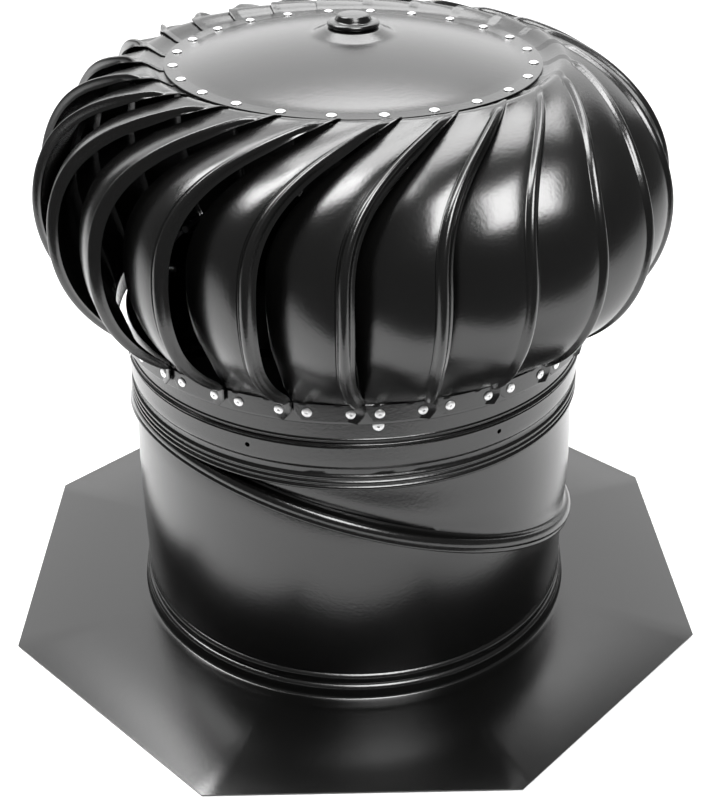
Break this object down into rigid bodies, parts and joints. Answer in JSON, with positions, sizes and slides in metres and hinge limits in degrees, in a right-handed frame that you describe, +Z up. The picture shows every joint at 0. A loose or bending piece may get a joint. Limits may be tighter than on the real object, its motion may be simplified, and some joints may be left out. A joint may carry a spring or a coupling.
{
  "type": "roof turbine ventilator",
  "caption": "Wind-driven turbine roof ventilator: louvred rotor on an internal brace, throat collar, two-part swivelling slanted duct and octagonal flashing",
  "frame": {"origin": "on the underside of the roof flashing, on the axis of the duct", "axes": "+Z up along the duct and the rotor's shaft, front towards -Y, flats of the flashing square to X and Y"},
  "size_m": [0.474, 0.474, 0.4109],
  "materials": {
    "black_paint": "gloss",
    "satin_black_paint": "satin",
    "zinc_plate": "satin",
    "bearing_steel": "polished",
    "bronze": "satin"
  },
  "bodies": {
    "flashing": {"flashing": "satin_black_paint"},
    "lower_duct": {"lower_pipe": "black_paint"},
    "upper_duct": {"upper_pipe": "black_paint", "throat_collar": "black_paint", "brace_hub": "satin_black_paint", "shaft": "bearing_steel", "shaft_nut": "zinc_plate", "bearing_inner_race": "bearing_steel", "shaft_clip": "bearing_steel", "brace_wire_1": "zinc_plate", "brace_wire_2": "zinc_plate", "brace_wire_3": "zinc_plate", "brace_rod_1": "satin_black_paint", "brace_rod_2": "satin_black_paint", "brace_rod_3": "satin_black_paint", "brace_pin_1": "zinc_plate", "brace_pin_2": "zinc_plate", "brace_pin_3": "zinc_plate", "brace_screw_1": "zinc_plate", "brace_screw_2": "zinc_plate", "brace_screw_3": "zinc_plate", "brace_nut_1": "zinc_plate", "brace_nut_2": "zinc_plate", "brace_nut_3": "zinc_plate"},
    "bearing_cage": {"ball_cage": "bearing_steel"},
    "rotor": {"bearing_outer_race": "bearing_steel", "lower_bush": "bronze", "bearing_housing": "black_paint", "housing_retainer": "zinc_plate", "top_disc": "black_paint", "rotor_ring": "black_paint", "vane_01": "black_paint", "vane_02": "black_paint", "vane_03": "black_paint", "vane_04": "black_paint", "vane_05": "black_paint", "vane_06": "black_paint", "vane_07": "black_paint", "vane_08": "black_paint", "vane_09": "black_paint", "vane_10": "black_paint", "vane_11": "black_paint", "vane_12": "black_paint", "vane_13": "black_paint", "vane_14": "black_paint", "vane_15": "black_paint", "vane_16": "black_paint", "vane_17": "black_paint", "vane_18": "black_paint", "vane_19": "black_paint", "vane_20": "black_paint", "vane_21": "black_paint", "vane_22": "black_paint", "vane_23": "black_paint", "vane_24": "black_paint"}
  },
  "joints": [
    {"name": "base_swivel", "type": "hinge", "parent": "flashing", "child": "lower_duct", "pos_m": [0, 0, 0.006], "axis": [0, 0, 1], "continuous": true},
    {"name": "pitch_swivel", "type": "hinge", "parent": "lower_duct", "child": "upper_duct", "pos_m": [0, 0, 0.107], "axis": [0.2754, 0.1972, 0.9409], "continuous": true},
    {"name": "rotor_spin", "type": "hinge", "parent": "upper_duct", "child": "rotor", "pos_m": [0, 0, 0.3953], "axis": [0, 0, 1], "continuous": true},
    {"name": "cage_spin", "type": "hinge", "parent": "upper_duct", "child": "bearing_cage", "pos_m": [0, 0, 0.3953], "axis": [0, 0, 1], "continuous": true}
  ],
  "couplings": [
    {"joint": "cage_spin", "follows": "rotor_spin", "ratio": 0.5919}
  ]
}
